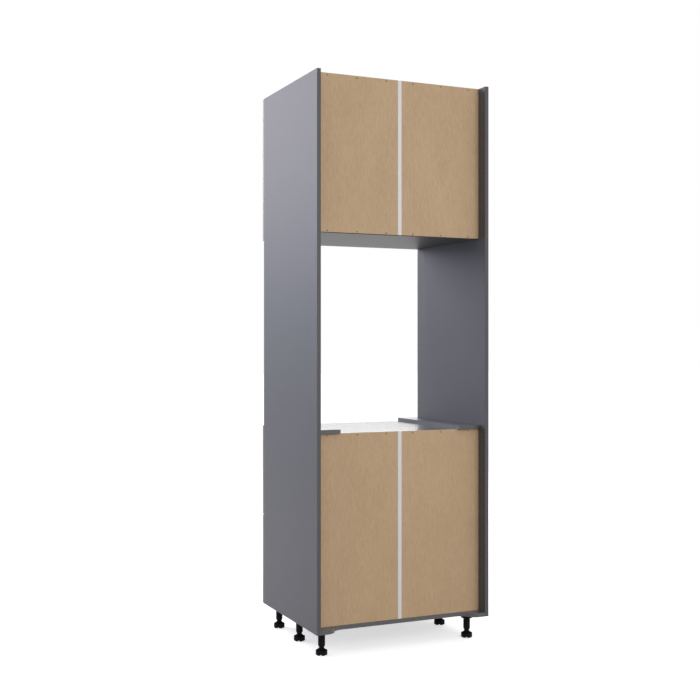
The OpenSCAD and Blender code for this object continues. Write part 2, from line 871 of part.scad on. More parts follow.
// Cross-section of a drawer side: a hollow wall with a round top and a lip for the bottom
module drawer_side_outline() {
    t = drawer_side_t;
    s = drawer_sheet;
    difference() {
        union() {
            square([t, drawer_side_h - t / 2]);
            translate([t / 2, drawer_side_h - t / 2]) circle(d = t);
        }
        translate([s, s]) square([t - 2 * s, drawer_side_h - t / 2 - s]);
        translate([t / 2, drawer_side_h - t / 2]) circle(d = t - 2 * s);
    }
    translate([-drawer_lip, 0]) square([drawer_lip + s, drawer_lip_t]);
}

// A drawer side with the brackets that hold the front and the back
module drawer_side(side, level) {
    bracket_low = drawer_lip_t + board_t + bracket_inset;
    bracket_high = drawer_side_h - bracket_inset;
    color(steel_grey)
        on_side(side)
            translate([drawer_inner_x, 0, drawer_box_z(level)]) {
                translate([0, drawer_rear_y, 0])
                    rotate([90, 0, 0])
                        linear_extrude(drawer_len) drawer_side_outline();
                box([-bracket_w, front_back_y, bracket_low], [drawer_sheet, front_back_y + bracket_t, bracket_high]);
                box([-bracket_w, drawer_rear_y, bracket_low],
                    [drawer_side_t / 2, drawer_rear_y + bracket_t, drawer_back_h]);
            }
}

module drawer_bottom(level) {
    x = drawer_inner_x - drawer_board_fit;
    z = drawer_box_z(level) + drawer_lip_t;
    color(laminate)
        box([-x, front_back_y, z], [x, drawer_rear_y, z + board_t]);
}

module drawer_back(level) {
    x = drawer_inner_x - drawer_board_fit;
    z = drawer_box_z(level) + drawer_lip_t + board_t;
    color(laminate)
        box([-x, drawer_rear_y - board_t, z], [x, drawer_rear_y, z + drawer_back_h]);
}

// Runner cross-sections: u runs from the cabinet side towards the drawer
runner_half_h = runner_h / 2;
middle_half_h = runner_half_h - runner_sheet - runner_fit;
inner_half_h = middle_half_h - runner_sheet - runner_fit;
runner_z_in_box = 30;
outer_flange_u = 10;
middle_web_u = 2.5;
middle_flange_u = outer_flange_u - runner_sheet - runner_fit;
inner_flange_u = 5;
// The middle and drawer members start further in and are shorter than the cabinet member
middle_setback = 6;
middle_shorter = 40;
inner_shorter = 20;
bumper_len = 8;
bumper_half_h = 12;
bumper_gap = 1;

// A C-shaped section whose web stands at u = from and whose flanges reach to u = to
module channel(from, to, half_h) {
    s = runner_sheet;
    low = min(from, to);
    high = max(from, to);
    web = from < to ? from : from - s;
    translate([web, -half_h]) square([s, 2 * half_h]);
    translate([low, -half_h]) square([high - low, s]);
    translate([low, half_h - s]) square([high - low, s]);
}

// The lips that keep the middle member from leaving the cabinet member sideways
module channel_lips(to, half_h) {
    lip = runner_sheet + runner_fit;
    translate([to - runner_sheet, -half_h]) square([runner_sheet, runner_sheet + lip]);
    translate([to - runner_sheet, half_h - runner_sheet - lip]) square([runner_sheet, runner_sheet + lip]);
}

module runner_member(level, length, start_y) {
    translate([inner_x, start_y + length, drawer_box_z(level) + runner_z_in_box])
        rotate([90, 0, 0])
            linear_extrude(length)
                mirror([1, 0, 0]) children();
}

module cabinet_runners(level) {
    start_y = carcass_y + runner_setback;
    bumper_y = carcass_y + middle_setback + runner_len - middle_shorter + bumper_gap;
    color(zinc)
        both_sides() {
            runner_member(level, runner_len, start_y) {
                channel(0, outer_flange_u, runner_half_h);
                channel_lips(outer_flange_u, runner_half_h);
            }
            runner_member(level, bumper_len, bumper_y)
                translate([0, -bumper_half_h]) square([middle_flange_u, 2 * bumper_half_h]);
        }
}

module middle_runners(level) {
    color(zinc)
        both_sides()
            runner_member(level, runner_len - middle_shorter, carcass_y + middle_setback)
                channel(middle_web_u, middle_flange_u, middle_half_h);
}

module drawer_runners(level) {
    color(zinc)
        both_sides()
            runner_member(level, drawer_len - inner_shorter, carcass_y + runner_setback)
                channel(runner_w, inner_flange_u, inner_half_h);
}

// ---------- Parts ----------

side_panel(LEFT);  // side_panel_left
side_panel(RIGHT);  // side_panel_right
top_panel();
bottom_panel();
oven_shelf();
upper_shelf();
adjustable_shelf();
shelf_pins();
back_half(LEFT, back_span_upper);  // back_upper_left
back_half(RIGHT, back_span_upper);  // back_upper_right
back_half(LEFT, back_span_lower);  // back_lower_left
back_half(RIGHT, back_span_lower);  // back_lower_right
back_joiner(back_span_upper);  // back_joiner_upper
back_joiner(back_span_lower);  // back_joiner_lower
oven_rail(LEFT);  // oven_rail_left
oven_rail(RIGHT);  // oven_rail_right
panel_screws();
cam_locks();
cam_bolts();
wood_dowels();
hinge_plates();
hinge_arms();
cabinet_runners(UPPER);  // cabinet_runners_upper
cabinet_runners(LOWER);  // cabinet_runners_lower
leg_socket(LEFT, leg_y[0]);  // leg_socket_front_left
leg_socket(RIGHT, leg_y[0]);  // leg_socket_front_right
leg_socket(LEFT, leg_y[1]);  // leg_socket_middle_left
leg_socket(RIGHT, leg_y[1]);  // leg_socket_middle_right
leg_socket(LEFT, leg_y[2]);  // leg_socket_rear_left
leg_socket(RIGHT, leg_y[2]);  // leg_socket_rear_right
foot(LEFT, leg_y[0]);  // foot_front_left
foot(RIGHT, leg_y[0]);  // foot_front_right
foot(LEFT, leg_y[1]);  // foot_middle_left
foot(RIGHT, leg_y[1]);  // foot_middle_right
foot(LEFT, leg_y[2]);  // foot_rear_left
foot(RIGHT, leg_y[2]);  // foot_rear_right
door(LEFT);  // door_left
hinge_cups(LEFT);  // hinge_cups_left
door_handle(LEFT);  // door_handle_left
door(RIGHT);  // door_right
hinge_cups(RIGHT);  // hinge_cups_right
door_handle(RIGHT);  // door_handle_right
drawer_front(UPPER);  // drawer_front_upper
drawer_side(LEFT, UPPER);  // drawer_side_upper_left
drawer_side(RIGHT, UPPER);  // drawer_side_upper_right
drawer_bottom(UPPER);  // drawer_bottom_upper
drawer_back(UPPER);  // drawer_back_upper
drawer_runners(UPPER);  // drawer_runners_upper
middle_runners(UPPER);  // middle_runners_upper
drawer_handle(UPPER);  // drawer_handle_upper
drawer_front(LOWER);  // drawer_front_lower
drawer_side(LEFT, LOWER);  // drawer_side_lower_left
drawer_side(RIGHT, LOWER);  // drawer_side_lower_right
drawer_bottom(LOWER);  // drawer_bottom_lower
drawer_back(LOWER);  // drawer_back_lower
drawer_runners(LOWER);  // drawer_runners_lower
middle_runners(LOWER);  // middle_runners_lower
drawer_handle(LOWER);  // drawer_handle_lower
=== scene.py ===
import json
import logging
import math
from dataclasses import dataclass, field
from enum import Enum
from typing import Iterable

import bmesh
import bpy
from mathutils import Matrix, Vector


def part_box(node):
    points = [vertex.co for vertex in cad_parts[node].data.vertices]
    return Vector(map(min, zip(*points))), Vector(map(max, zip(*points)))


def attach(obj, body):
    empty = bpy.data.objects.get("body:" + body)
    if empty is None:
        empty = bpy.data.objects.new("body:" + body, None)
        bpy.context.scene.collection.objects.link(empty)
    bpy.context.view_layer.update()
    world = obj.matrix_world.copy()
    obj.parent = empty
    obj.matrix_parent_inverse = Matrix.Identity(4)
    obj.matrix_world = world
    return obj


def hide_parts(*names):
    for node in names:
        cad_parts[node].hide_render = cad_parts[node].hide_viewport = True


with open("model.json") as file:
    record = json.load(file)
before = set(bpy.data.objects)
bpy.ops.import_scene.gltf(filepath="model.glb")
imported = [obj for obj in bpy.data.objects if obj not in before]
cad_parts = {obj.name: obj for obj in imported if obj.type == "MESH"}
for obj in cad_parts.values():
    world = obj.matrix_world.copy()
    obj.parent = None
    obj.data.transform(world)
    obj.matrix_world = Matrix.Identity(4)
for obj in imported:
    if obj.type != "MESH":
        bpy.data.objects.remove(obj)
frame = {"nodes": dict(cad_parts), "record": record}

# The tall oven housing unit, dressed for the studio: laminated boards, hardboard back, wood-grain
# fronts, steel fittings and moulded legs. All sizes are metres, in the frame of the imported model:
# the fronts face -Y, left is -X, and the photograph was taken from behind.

LOG = logging.getLogger("oven_housing")

Number = float | int
Colour = tuple[float, float, float]
Point = tuple[float, float, float]

MM = 0.001
WHITE: Colour = (1.0, 1.0, 1.0)
SIDES = ("left", "right")
LEVELS = ("upper", "lower")
MERGE = 0.001 * MM              # vertices that lie nearer are one
FLAT = math.radians(0.2)        # faces that meet at a smaller angle are one
SHARP = math.radians(35)        # edges that turn by more are arrises


def srgb(red: int, green: int, blue: int) -> Colour:
    """Turns a colour on the 0 to 255 display scale into the linear values that shaders use.

    Args:
        red: Red on the display scale.
        green: Green on the display scale.
        blue: Blue on the display scale.

    Returns:
        The linear colour.
    """
    def linear(value: int) -> float:
        """One channel, by the curve of the sRGB standard."""
        share = value / 255
        return share / 12.92 if share <= 0.04045 else ((share + 0.055) / 1.055) ** 2.4
    return (linear(red), linear(green), linear(blue))


def toned(colour: Colour, share: float) -> Colour:
    """A colour made lighter or darker by a share, and kept within what a surface can have."""
    return tuple(min(1.0, channel * share) for channel in colour)


# ---------- Node graphs ----------


class Sock:
    """An output socket that takes part in Python expressions: each operator adds a Math node."""

    def __init__(self, graph: "Graph", socket: bpy.types.NodeSocket) -> None:
        """Wraps a socket of a graph."""
        self.graph = graph
        self.socket = socket

    def _maths(self, operation: str, *others: "Sock | Number") -> "Sock":
        """Adds one Math node.

        Args:
            operation: The Math node's operation.
            others: The operands after this one.

        Returns:
            The node's value.
        """
        inputs = dict(enumerate((self, *others)))
        return self.graph.node("ShaderNodeMath", {"operation": operation}, inputs)

    def __add__(self, other: "Sock | Number") -> "Sock":
        """self + other."""
        return self._maths("ADD", other)

    __radd__ = __add__

    def __sub__(self, other: "Sock | Number") -> "Sock":
        """self - other."""
        return self._maths("SUBTRACT", other)

    def __mul__(self, other: "Sock | Number") -> "Sock":
        """self * other."""
        return self._maths("MULTIPLY", other)

    __rmul__ = __mul__

    def __neg__(self) -> "Sock":
        """-self."""
        return self._maths("MULTIPLY", -1.0)

    def sine(self) -> "Sock":
        """The sine of the value."""
        return self._maths("SINE")

    def near(self, target: Number, reach: Number) -> "Sock":
        """1 where the value is within reach of a target, and 0 elsewhere."""
        return self._maths("COMPARE", target, reach)

    def swing(self, size: Number) -> "Sock":
        """A value from 0 to 1 as a swing about 0, of a size from end to end."""
        return (self - 0.5) * size

    def clamped(self) -> "Sock":
        """The value kept between 0 and 1."""
        return self.graph.node("ShaderNodeClamp", {}, {
            "Value": self, "Min": 0.0, "Max": 1.0})


class Graph:
    """A node tree, of a material, the world or a geometry group, that is built node by node."""

    def __init__(self, tree: bpy.types.NodeTree) -> None:
        """Wraps a tree."""
        self.tree = tree

    @classmethod
    def cleared(cls, owner: "bpy.types.Material | bpy.types.World") -> "Graph":
        """The emptied node tree of a material or a world.

        Args:
            owner: The material or world.

        Returns:
            Its graph.
        """
        owner.use_nodes = True
        owner.node_tree.nodes.clear()
        return cls(owner.node_tree)

    def node(self, kind: str, settings: dict | None = None, inputs: dict | None = None,
             output: int | str = 0) -> Sock:
        """Adds a node, sets it up and links its inputs.

        Args:
            kind: The node's type.
            settings: Attributes of the node, set first.
            inputs: Values or sockets by the input's name or index; a list links each of its
                sockets.
            output: Name or index of the output that is returned.

        Returns:
            The chosen output.
        """
        made = self.tree.nodes.new(kind)
        for name, value in (settings or {}).items():
            setattr(made, name, value)
        for name, value in (inputs or {}).items():
            for one in value if isinstance(value, list) else [value]:
                self.feed(made.inputs[name], one)
        return Sock(self, made.outputs[output] if len(made.outputs) else None)

    def feed(self, target: bpy.types.NodeSocket, value: "Sock | Number | tuple") -> None:
        """Links a socket to an input, or sets the input's own value.

        Args:
            target: The input.
            value: The socket or value; a colour input takes three channels.
        """
        if isinstance(value, Sock):
            self.tree.links.new(value.socket, target)
        elif target.type == "RGBA":
            target.default_value = (*value, 1.0)
        else:
            target.default_value = value

    def mixed(self, share: Sock, first: "Sock | Colour", second: "Sock | Colour") -> Sock:
        """Mixes two colours.

        Args:
            share: The share of the second colour, from 0 to 1.
            first: The first colour.
            second: The second colour.

        Returns:
            The mixed colour.
        """
        made = self.tree.nodes.new("ShaderNodeMix")
        made.data_type = "RGBA"
        factor, colour_a, colour_b, result = 0, 6, 7, 2     # the colour sockets share their names
        for index, value in ((factor, share), (colour_a, first), (colour_b, second)):
            self.feed(made.inputs[index], value)
        return Sock(self, made.outputs[result])

    def place(self, stretch: Point) -> Sock:
        """The surface point in the frame of the unit, stretched along the axes."""
        point = self.node("ShaderNodeTexCoord", output="Object")
        return self.node("ShaderNodeMapping", {}, {"Vector": point, "Scale": stretch})

    def along(self, axis: str) -> Sock:
        """One coordinate, X, Y or Z, of the surface point in the frame of the unit."""
        point = self.node("ShaderNodeTexCoord", output="Object")
        return self.node("ShaderNodeSeparateXYZ", {}, {"Vector": point}, axis)

    def bump(self, height: Sock, distance: float, strength: float) -> Sock:
        """A normal bent by a height, in units of distance."""
        return self.node("ShaderNodeBump", {}, {
            "Height": height, "Distance": distance, "Strength": strength})


Inputs = dict[str, Sock | Number | Colour]


class Recipe:
    """A geometry tree with named inputs that makes what repeats, or what follows a path."""

    KINDS = {float: "NodeSocketFloat", tuple: "NodeSocketVector"}

    def __init__(self, name: str, **sizes: "float | Point") -> None:
        """Opens the tree.

        Args:
            name: The tree's name.
            sizes: The named inputs and their values.
        """
        self.tree = bpy.data.node_groups.new(name, "GeometryNodeTree")
        self.g = Graph(self.tree)
        interface = self.tree.interface
        interface.new_socket("Geometry", in_out="INPUT", socket_type="NodeSocketGeometry")
        interface.new_socket("Geometry", in_out="OUTPUT", socket_type="NodeSocketGeometry")
        self.values: dict[str, float | Point] = {}
        for title, value in sizes.items():
            made = interface.new_socket(title, in_out="INPUT", socket_type=self.KINDS[type(value)])
            self.values[made.identifier] = value
        self.entry = self.tree.nodes.new("NodeGroupInput")

    def given(self, title: str) -> Sock:
        """The value of a named input."""
        return Sock(self.g, self.entry.outputs[title])

    def point(self, x: "Sock | Number" = 0.0, y: "Sock | Number" = 0.0,
              z: "Sock | Number" = 0.0) -> Sock:
        """A vector from three values."""
        return self.g.node("ShaderNodeCombineXYZ", {}, {"X": x, "Y": y, "Z": z})

    def moved(self, shape: Sock, by: Sock) -> Sock:
        """A shape moved by a vector."""
        return self.g.node("GeometryNodeTransform", {}, {"Geometry": shape, "Translation": by})

    def on_points(self, shape: Sock, finish: bpy.types.Material, turn: Sock | None = None) -> None:
        """Closes the tree: the shape stands on each point of the input, in a material.

        Args:
            shape: The shape that repeats.
            finish: The material of the whole.
            turn: The shape's rotation, where it has one.
        """
        inputs = {"Points": self.given("Geometry"), "Instance": shape}
        if turn:
            inputs["Rotation"] = turn
        spread = self.g.node("GeometryNodeInstanceOnPoints", {}, inputs)
        real = self.g.node("GeometryNodeRealizeInstances", {}, {"Geometry": spread})
        dressed = self.g.node("GeometryNodeSetMaterial", {}, {
            "Geometry": real, "Material": finish})
        self.g.node("NodeGroupOutput", {}, {"Geometry": dressed})

    def grown(self, name: str, points: Iterable[Point]) -> bpy.types.Object:
        """Runs the tree on a set of points.

        Args:
            name: The new object's name.
            points: Where the shape stands.

        Returns:
            The new object, a plain mesh at the origin.
        """
        mesh = bpy.data.meshes.new(name)
        mesh.from_pydata([tuple(place) for place in points], [], [])
        piece = bpy.data.objects.new(name, mesh)
        bpy.context.scene.collection.objects.link(piece)
        grow = piece.modifiers.new("grow", "NODES")
        grow.node_group = self.tree
        for identifier, value in self.values.items():
            grow[identifier] = value
        flatten(piece)
        return piece


# ---------- Finishes ----------


@dataclass(frozen=True)
class Grain:
    """A noise pattern in the frame of the unit."""

    scale: float = 1.0
    stretch: Point = (1.0, 1.0, 1.0)
    detail: float = 2.0
    roughness: float = 0.5
    distortion: float = 0.0

    def value(self, g: Graph) -> Sock:
        """The pattern's value, from 0 to 1, at the surface point."""
        return g.node("ShaderNodeTexNoise", {}, {
            "Vector": g.place(self.stretch), "Scale": self.scale, "Detail": self.detail,
            "Roughness": self.roughness, "Distortion": self.distortion})


@dataclass(frozen=True)
class Finish:
    """What every finish has: the record's slot, a colour, a roughness and a specular level.

    The relief is the height of its texture, and strength says how much of it the light shows.
    """

    slot: str
    colour: Colour
    roughness: float
    specular: float = 0.5
    relief: float = 0.02 * MM
    strength: float = 0.5

    def surface(self, g: Graph) -> Inputs:
        """The inputs of the surface shader, by each finish's own pattern."""
        raise NotImplementedError

    def textured(self, g: Graph, colour: Sock, sheen: Sock, height: Sock) -> Inputs:
        """The shader's inputs for a surface with a texture.

        Args:
            g: The material's graph.
            colour: The colour.
            sheen: What is added to the roughness.
            height: The height of the texture, from 0 to 1.

        Returns:
            The shader's values and sockets by the input's name.
        """
        return {
            "Base Color": colour,
            "Roughness": self.roughness + sheen,
            "Normal": g.bump(height, self.relief, self.strength),
        }

    def material(self, name: str) -> bpy.types.Material:
        """Builds the material once and returns it from then on.

        Args:
            name: The material's name.

        Returns:
            The material.
        """
        made = bpy.data.materials.get(name)
        if made:
            return made
        made = bpy.data.materials.new(name)
        g = Graph.cleared(made)
        inputs = {"Specular IOR Level": self.specular, **self.surface(g)}
        shader = g.node("ShaderNodeBsdfPrincipled", {}, inputs)
        g.node("ShaderNodeOutputMaterial", {}, {"Surface": shader})
        return made


@dataclass(frozen=True)
class Laminate(Finish):
    """Satin melamine laminate on particle board, with a hairline where the edge band starts."""

    pebble: Grain = Grain(scale=900.0)
    sheen_swing: float = 0.10
    clouds: Grain = Grain(scale=3.0, detail=3.0)
    cloud_tones: tuple[float, float] = (0.95, 1.05)
    band_seams: tuple[float, ...] = (-269.0 * MM, 323.4 * MM)
    seam_half: float = 0.08 * MM
    seam_tone: float = 0.25
    seam_share: float = 0.45

    def surface(self, g: Graph) -> Inputs:
        """An even colour that clouds slightly, and a roughness that varies with the pebble.

        Args:
            g: The material's graph.

        Returns:
            The shader's values and sockets by the input's name.
        """
        fine = self.pebble.value(g)
        seams = sum((g.along("Y").near(place, self.seam_half) for place in self.band_seams), 0.0)
        dark, light = (toned(self.colour, tone) for tone in self.cloud_tones)
        even = g.mixed(self.clouds.value(g), dark, light)
        colour = g.mixed(seams * self.seam_share, even, toned(self.colour, self.seam_tone))
        return self.textured(g, colour, fine.swing(self.sheen_swing), fine)


@dataclass(frozen=True)
class Hardboard(Finish):
    """Thin brown fibreboard: matt, with short upright fibres and faint clouds."""

    relief: float = 0.06 * MM
    fibre: Colour = srgb(173, 142, 108)
    fibres: Grain = Grain(stretch=(420.0, 420.0, 60.0), detail=4.0, roughness=0.62)
    fibre_share: float = 0.70
    streaks: Grain = Grain(stretch=(210.0, 210.0, 30.0), detail=3.0, roughness=0.6)
    streak_share: float = 0.80
    clouds: Grain = Grain(stretch=(9.0, 9.0, 5.0), detail=3.0)
    cloud_share: float = 0.55
    tone: float = 0.30
    sheen_swing: float = 0.15

    def surface(self, g: Graph) -> Inputs:
        """Short upright fibres over slow clouds of a warmer and a greyer brown.

        Args:
            g: The material's graph.

        Returns:
            The shader's values and sockets by the input's name.
        """
        fibres = self.fibres.value(g)
        tone = (fibres.swing(self.fibre_share) + self.streaks.value(g).swing(self.streak_share)
                + self.clouds.value(g).swing(self.cloud_share) + self.tone)
        colour = g.mixed(tone.clamped(), self.colour, self.fibre)
        return self.textured(g, colour, fibres.swing(self.sheen_swing), fibres)


@dataclass(frozen=True)
class FrontWood(Finish):
    """Brown wood-grain laminate with the grain upright on doors and drawer fronts alike."""

    relief: float = 0.06 * MM
    dark: Colour = srgb(104, 84, 70)
    tones: Grain = Grain(stretch=(9.0, 9.0, 0.45), detail=3.0, roughness=0.55)
    tone_share: float = 0.55
    lines: Grain = Grain(stretch=(85.0, 85.0, 1.5), detail=5.0, roughness=0.62, distortion=0.35)
    line_share: float = 0.95
    line_relief: float = 0.5
    pores: Grain = Grain(stretch=(900.0, 900.0, 30.0), detail=3.0, roughness=0.6)
    pore_share: float = 0.40
    ring_density: float = 420.0
    ring_wander: float = 30.0
    ring_share: float = 0.10
    darker: float = 0.50
    sheen_swing: float = 0.18

    def surface(self, g: Graph) -> Inputs:
        """Straight growth lines that wander slightly, fine pores and slow changes of tone.

        Args:
            g: The material's graph.

        Returns:
            The shader's values and sockets by the input's name.
        """
        tones, lines, pores = (grain.value(g) for grain in (self.tones, self.lines, self.pores))
        wave = (g.along("X") * self.ring_density + tones * self.ring_wander).sine()
        rings = wave * 0.5 + 0.5
        grain = (lines * self.line_share + tones * self.tone_share + rings * self.ring_share
                 + pores * self.pore_share - self.darker)
        colour = g.mixed(grain.clamped(), self.dark, self.colour)
        height = pores + lines * self.line_relief
        return self.textured(g, colour, pores.swing(self.sheen_swing), height)


@dataclass(frozen=True)
class Plastic(Finish):
    """Moulded or extruded plastic with a slightly uneven sheen."""

    strength: float = 0.6
    texture: Grain = Grain(scale=350.0, detail=3.0)
    texture_swing: float = 0.2
    clouds: Grain = Grain(stretch=(30.0, 30.0, 8.0))
    cloud_swing: float = 0.1
    cloud_tone: float = 1.08

    def surface(self, g: Graph) -> Inputs:
        """A faint mould texture in roughness and normal, and a slight change of tone.

        Args:
            g: The material's graph.

        Returns:
            The shader's values and sockets by the input's name.
        """
        fine, slow = self.texture.value(g), self.clouds.value(g)
        colour = g.mixed(slow, self.colour, toned(self.colour, self.cloud_tone))
        sheen = fine.swing(self.texture_swing) + slow.swing(self.cloud_swing)
        return self.textured(g, colour, sheen, fine)


@dataclass(frozen=True)
class Metal(Finish):
    """Bare or plated metal with a fine brushing along one direction."""

    strength: float = 0.4
    brushing: Grain = Grain(stretch=(60.0, 60.0, 2500.0), detail=3.0, roughness=0.6)
    brush_swing: float = 0.16
    clouds: Grain = Grain(stretch=(40.0, 40.0, 40.0), detail=3.0)
    cloud_swing: float = 0.12
    cloud_tone: float = 0.82

    def surface(self, g: Graph) -> Inputs:
        """Brushing in roughness and normal over slow clouds of tone.

        Args:
            g: The material's graph.

        Returns:
            The shader's values and sockets by the input's name.
        """
        brushed, clouds = self.brushing.value(g), self.clouds.value(g)
        colour = g.mixed(clouds, toned(self.colour, self.cloud_tone), self.colour)
        sheen = brushed.swing(self.brush_swing) + clouds.swing(self.cloud_swing)
        return {"Metallic": 1.0, **self.textured(g, colour, sheen, brushed)}


@dataclass(frozen=True)
class PowderCoat(Finish):
    """Powder-coated sheet steel: matt with a slight orange peel."""

    relief: float = 0.04 * MM
    peel: Grain = Grain(scale=260.0)
    peel_swing: float = 0.12
    clouds: Grain = Grain(scale=6.0)
    cloud_tone: float = 1.07

    def surface(self, g: Graph) -> Inputs:
        """Orange peel in the normal, and a faint change of tone.

        Args:
            g: The material's graph.

        Returns:
            The shader's values and sockets by the input's name.
        """
        peel = self.peel.value(g)
        colour = g.mixed(self.clouds.value(g), self.colour, toned(self.colour, self.cloud_tone))
        return self.textured(g, colour, peel.swing(self.peel_swing), peel)


class Palette(Enum):
    """The finishes of the unit."""

    LAMINATE = Laminate("carcass_laminate", srgb(87, 85, 88), roughness=0.52, specular=0.26)
    SHELF_LAMINATE = Laminate("carcass_laminate", srgb(83, 81, 85), roughness=0.26)
    # painted shade: a slightly darker, less reflective copy of the carcass laminate, so the
    # underside of the upper shelf shows a dim reflection
    SHADED_UNDERSIDE_LAMINATE = Laminate("carcass_laminate", srgb(84, 82, 85), roughness=0.42,
                                  specular=0.12)
    HARDBOARD = Hardboard("back_hardboard", srgb(201, 171, 136), roughness=0.62, specular=0.4)
    FRONT = FrontWood("front_wood", srgb(152, 128, 109), roughness=0.42, specular=0.4)
    WHITE_PLASTIC = Plastic("white_plastic", srgb(222, 219, 220), roughness=0.42)
    BLACK_PLASTIC = Plastic("black_plastic", srgb(7, 7, 8), roughness=0.7, specular=0.12,
                            relief=0.03 * MM, texture=Grain(scale=500.0, detail=3.0))
    ZINC = Metal("zinc", srgb(176, 178, 182), roughness=0.40)
    HANDLE = Metal("handle_steel", srgb(196, 196, 198), roughness=0.30,
                   brushing=Grain(stretch=(60.0, 60.0, 60.0), detail=3.0, roughness=0.6))
    DRAWER_STEEL = PowderCoat("drawer_steel", srgb(120, 122, 126), roughness=0.48)
    SCREW = Metal("screw_steel", srgb(142, 118, 94), roughness=0.5)
    BEECH = Hardboard("beech", srgb(214, 184, 140), roughness=0.6, specular=0.4,
                      fibre=srgb(190, 150, 104))

    def material(self) -> bpy.types.Material:
        """The finish's material."""
        return self.value.material(f"finish_{self.name.lower()}")


# ---------- Screws ----------


class Facing(Enum):
    """Which way a screw's head points, as a rotation of an upright screw."""

    UP = (0.0, 0.0, 0.0)
    REAR = (-math.pi / 2, 0.0, 0.0)
    LEFT = (0.0, -math.pi / 2, 0.0)
    RIGHT = (0.0, math.pi / 2, 0.0)


@dataclass(frozen=True)
class Screw:
    """A pan-head screw with a cross recess, whose head starts at its point."""

    head_r: float
    head_h: float
    shank_r: float
    shank_len: float
    recess_w: float = 0.6 * MM
    recess_share: float = 1.16      # the recess's length, as a share of the head's radius
    crown_share: float = 0.66       # the radius at the top of the head
    tip_share: float = 0.35         # the radius at the end of the shank
    head_sides: int = 24
    shank_sides: int = 12

    def head(self, recipe: Recipe) -> Sock:
        """The head, with its recess cut out.

        Args:
            recipe: The tree that the head is built in.

        Returns:
            The head, standing on the origin.
        """
        g, height, width = recipe.g, recipe.given("head_height"), recipe.given("recess_width")
        radius = recipe.given("head_radius")
        dome = g.node("GeometryNodeMeshCone", {}, {
            "Vertices": self.head_sides, "Radius Bottom": radius,
            "Radius Top": radius * self.crown_share, "Depth": height})
        length = radius * self.recess_share
        bars = [g.node("GeometryNodeMeshCube", {}, {"Size": recipe.point(x, y, height)})
                for x, y in ((length, width), (width, length))]
        raised = [recipe.moved(bar, recipe.point(z=height)) for bar in bars]
        return g.node("GeometryNodeMeshBoolean", {"operation": "DIFFERENCE"}, {
            "Mesh 1": dome, "Mesh 2": raised})

    def shank(self, recipe: Recipe) -> Sock:
        """The shank, which tapers down from the head.

        Args:
            recipe: The tree that the shank is built in.

        Returns:
            The shank, hanging below the origin.
        """
        radius, length = recipe.given("shank_radius"), recipe.given("shank_length")
        cone = recipe.g.node("GeometryNodeMeshCone", {}, {
            "Vertices": self.shank_sides, "Radius Bottom": radius * self.tip_share,
            "Radius Top": radius, "Depth": length})
        return recipe.moved(cone, recipe.point(z=-length))

    def grown(self, name: str, points: Iterable[Point], facing: Facing,
              finish: Palette) -> bpy.types.Object:
        """Makes one mesh of screws.

        Args:
            name: The mesh's name.
            points: Where the undersides of the heads are.
            facing: Which way the heads point.
            finish: The screws' finish.

        Returns:
            The mesh's object.
        """
        recipe = Recipe(f"{name}_recipe", head_radius=self.head_r, head_height=self.head_h,
                        shank_radius=self.shank_r, shank_length=self.shank_len,
                        recess_width=self.recess_w, turn=facing.value)
        parts = [self.head(recipe), self.shank(recipe)]
        whole = recipe.g.node("GeometryNodeJoinGeometry", {}, {"Geometry": parts})
        recipe.on_points(whole, finish.material(), recipe.given("turn"))
        piece = recipe.grown(name, points)
        piece.data.shade_flat()
        return piece


# ---------- Pieces ----------


def body_of_node(node: str) -> str:
    """The body that carries a CAD node.

    Args:
        node: Name of the CAD node.

    Returns:
        Name of the body.

    Raises:
        KeyError: Where no body carries it.
    """
    for body, nodes in frame["record"]["behaviour"]["bodies"].items():
        if node in nodes:
            return body
    raise KeyError(node)


def middle(node: str, axis: str) -> float:
    """The middle of a CAD node's box along one axis.

    Args:
        node: Name of the CAD node.
        axis: X, Y or Z.

    Returns:
        The coordinate.
    """
    low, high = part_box(node)
    index = "XYZ".index(axis)
    return (low[index] + high[index]) / 2


def flatten(piece: bpy.types.Object) -> None:
    """Turns a piece with live modifiers into a plain mesh.

    Args:
        piece: The piece, which keeps its name.
    """
    bpy.context.view_layer.update()
    graph = bpy.context.evaluated_depsgraph_get()
    mesh = bpy.data.meshes.new_from_object(piece.evaluated_get(graph))
    piece.modifiers.clear()
    piece.data = mesh


